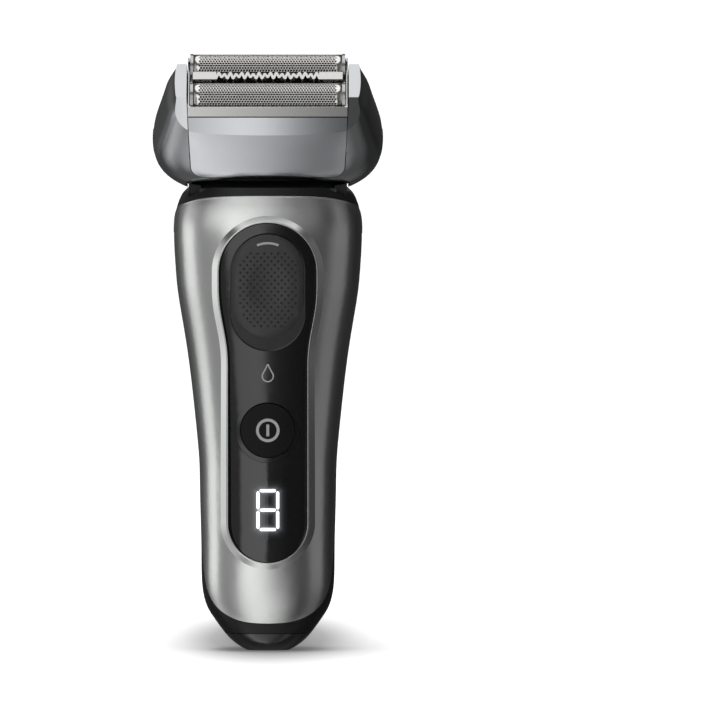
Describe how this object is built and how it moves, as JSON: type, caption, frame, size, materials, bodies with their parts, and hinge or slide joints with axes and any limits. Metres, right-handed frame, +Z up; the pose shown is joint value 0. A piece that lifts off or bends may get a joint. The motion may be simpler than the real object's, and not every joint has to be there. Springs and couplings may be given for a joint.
{
  "type": "foil shaver",
  "caption": "Cordless foil shaver with a swivelling head, arched foils round a middle trimmer, a lockable neck, a lit display panel and a long hair trimmer on the back.",
  "frame": {"origin": "middle of the charging inlet's mouth, in the flat rim of the foot", "axes": "+X to the right seen from the front, the front faces -Y, +Z up along the handle"},
  "size_m": [0.0626, 0.0403, 0.1623],
  "materials": {
    "handle_silver": "satin metallic paint",
    "housing_black": "satin",
    "grip_rubber": "matt",
    "panel_gloss": "high gloss",
    "display_glass": "high gloss",
    "digit_glow": "glowing",
    "mark_grey": "satin",
    "button_black": "satin",
    "pad_charcoal": "satin with small dots",
    "bolt_plastic": "matt",
    "foot_gloss": "gloss",
    "socket_black": "matt",
    "seal_rubber": "matt",
    "contact_brass": "plated",
    "collar_black": "satin",
    "pin_steel": "turned",
    "chassis_plastic": "matt",
    "cell_wrap": "film",
    "tab_nickel": "plated",
    "board_green": "lacquer",
    "chip_black": "matt",
    "head_silver": "metallic paint, glossy",
    "head_black": "satin",
    "bush_plastic": "matt",
    "spring_steel": "wire",
    "bellows_rubber": "matt",
    "core_steel": "laminated",
    "coil_copper": "enamelled wire",
    "magnet_grey": "plated",
    "release_black": "satin",
    "cassette_silver": "metallic paint, glossy",
    "rail_grey": "satin metallic",
    "guide_plastic": "matt",
    "bridge_plastic": "matt",
    "foil_steel": "polished, perforated",
    "cap_grey": "satin",
    "blade_steel": "ground",
    "carrier_plastic": "matt",
    "guard_steel": "polished"
  },
  "bodies": {
    "handle": {"front_shell": "handle_silver", "rear_housing": "housing_black", "rear_grip": "grip_rubber", "control_panel": "panel_gloss", "display_window": "display_glass", "display_module": "chip_black", "display_segments": "digit_glow", "base_cap": "foot_gloss", "neck_collar": "collar_black", "pivot_pins": "pin_steel", "inner_frame": "chassis_plastic", "battery_cell": "cell_wrap", "battery_tabs": "tab_nickel", "main_board": "board_green", "board_components": "chip_black", "tact_switch": "chip_black", "charging_pins": "contact_brass", "inlet_socket": "socket_black", "inlet_seal": "seal_rubber", "panel_seal": "seal_rubber"},
    "lock_slider": {"lock_pad": "pad_charcoal", "lock_bolt": "bolt_plastic"},
    "power_button": {"power_button_cap": "button_black", "power_symbol": "mark_grey"},
    "rear_trimmer": {"trimmer_slide": "housing_black", "trimmer_comb_blade": "blade_steel"},
    "rear_trimmer_cutter": {"trimmer_cutter_blade": "blade_steel"},
    "head": {"head_frame": "head_silver", "head_deck": "head_black", "ear_liners": "head_black", "pivot_bushes": "bush_plastic", "centering_springs": "spring_steel", "drive_housing": "head_black", "drive_bellows": "bellows_rubber", "motor_core": "core_steel", "motor_coil": "coil_copper", "leaf_springs": "spring_steel"},
    "release_left": {"release_button_left": "release_black"},
    "release_right": {"release_button_right": "release_black"},
    "drive": {"motor_armature": "core_steel", "drive_magnets": "magnet_grey", "drive_pin": "pin_steel"},
    "balance": {"balance_mass": "magnet_grey"},
    "cassette": {"cassette_frame": "cassette_silver", "cassette_rail": "rail_grey", "cassette_guides": "guide_plastic", "foil_springs": "spring_steel"},
    "bridge": {"drive_bridge": "bridge_plastic"},
    "front_foil_unit": {"front_foil": "foil_steel", "front_foil_frame": "cap_grey"},
    "rear_foil_unit": {"rear_foil": "foil_steel", "rear_foil_frame": "cap_grey"},
    "front_cutter": {"front_cutter_blades": "blade_steel", "front_cutter_carrier": "carrier_plastic"},
    "rear_cutter": {"rear_cutter_blades": "blade_steel", "rear_cutter_carrier": "carrier_plastic"},
    "middle_trimmer": {"trimmer_guard": "guard_steel", "trimmer_holder": "head_black"},
    "middle_cutter": {"trimmer_blade": "blade_steel"}
  },
  "joints": [
    {"name": "head_swivel", "type": "hinge", "parent": "handle", "child": "head", "pos_m": [0, 0, 0.135], "axis": [1, 0, 0], "range_deg": [-20, 20], "stiffness_Nm_per_rad": 0.3},
    {"name": "lock_slide", "type": "slide", "parent": "handle", "child": "lock_slider", "axis": [0, 0, -1], "range_m": [0, 0.0035]},
    {"name": "power_press", "type": "slide", "parent": "handle", "child": "power_button", "axis": [0, 1, 0], "range_m": [0, 0.0005], "stiffness_N_per_m": 2000},
    {"name": "rear_trimmer_slide", "type": "slide", "parent": "handle", "child": "rear_trimmer", "axis": [0, 0, 1], "range_m": [0, 0.012]},
    {"name": "rear_trimmer_stroke", "type": "slide", "parent": "rear_trimmer", "child": "rear_trimmer_cutter", "axis": [1, 0, 0], "range_m": [-0.001, 0.001], "stiffness_N_per_m": 500},
    {"name": "release_press_left", "type": "slide", "parent": "head", "child": "release_left", "axis": [1, 0, 0], "range_m": [0, 0.0012], "stiffness_N_per_m": 1200},
    {"name": "release_press_right", "type": "slide", "parent": "head", "child": "release_right", "axis": [-1, 0, 0], "range_m": [0, 0.0012], "stiffness_N_per_m": 1200},
    {"name": "cassette_release", "type": "slide", "parent": "head", "child": "cassette", "axis": [0, -0.5299, 0.848], "range_m": [0, 0.03]},
    {"name": "drive_stroke", "type": "slide", "parent": "head", "child": "drive", "axis": [1, 0, 0], "range_m": [-0.0012, 0.0012], "stiffness_N_per_m": 3000},
    {"name": "balance_stroke", "type": "slide", "parent": "head", "child": "balance", "axis": [1, 0, 0], "range_m": [-0.0012, 0.0012]},
    {"name": "bridge_stroke", "type": "slide", "parent": "cassette", "child": "bridge", "axis": [1, 0, 0], "range_m": [-0.0012, 0.0012]},
    {"name": "front_foil_float", "type": "slide", "parent": "cassette", "child": "front_foil_unit", "axis": [0, 0.5299, -0.848], "range_m": [0, 0.0015], "stiffness_N_per_m": 600},
    {"name": "rear_foil_float", "type": "slide", "parent": "cassette", "child": "rear_foil_unit", "axis": [0, 0.5299, -0.848], "range_m": [0, 0.0015], "stiffness_N_per_m": 600},
    {"name": "middle_trimmer_float", "type": "slide", "parent": "cassette", "child": "middle_trimmer", "axis": [0, 0.5299, -0.848], "range_m": [0, 0.0015], "stiffness_N_per_m": 600},
    {"name": "front_cutter_stroke", "type": "slide", "parent": "front_foil_unit", "child": "front_cutter", "axis": [1, 0, 0], "range_m": [-0.0012, 0.0012]},
    {"name": "rear_cutter_stroke", "type": "slide", "parent": "rear_foil_unit", "child": "rear_cutter", "axis": [1, 0, 0], "range_m": [-0.0012, 0.0012]},
    {"name": "middle_cutter_stroke", "type": "slide", "parent": "middle_trimmer", "child": "middle_cutter", "axis": [1, 0, 0], "range_m": [-0.0012, 0.0012]}
  ],
  "couplings": [
    {"joint": "balance_stroke", "follows": "drive_stroke", "ratio": -1},
    {"joint": "bridge_stroke", "follows": "drive_stroke", "ratio": 1},
    {"joint": "front_cutter_stroke", "follows": "drive_stroke", "ratio": 1},
    {"joint": "rear_cutter_stroke", "follows": "drive_stroke", "ratio": 1},
    {"joint": "middle_cutter_stroke", "follows": "drive_stroke", "ratio": 1}
  ]
}
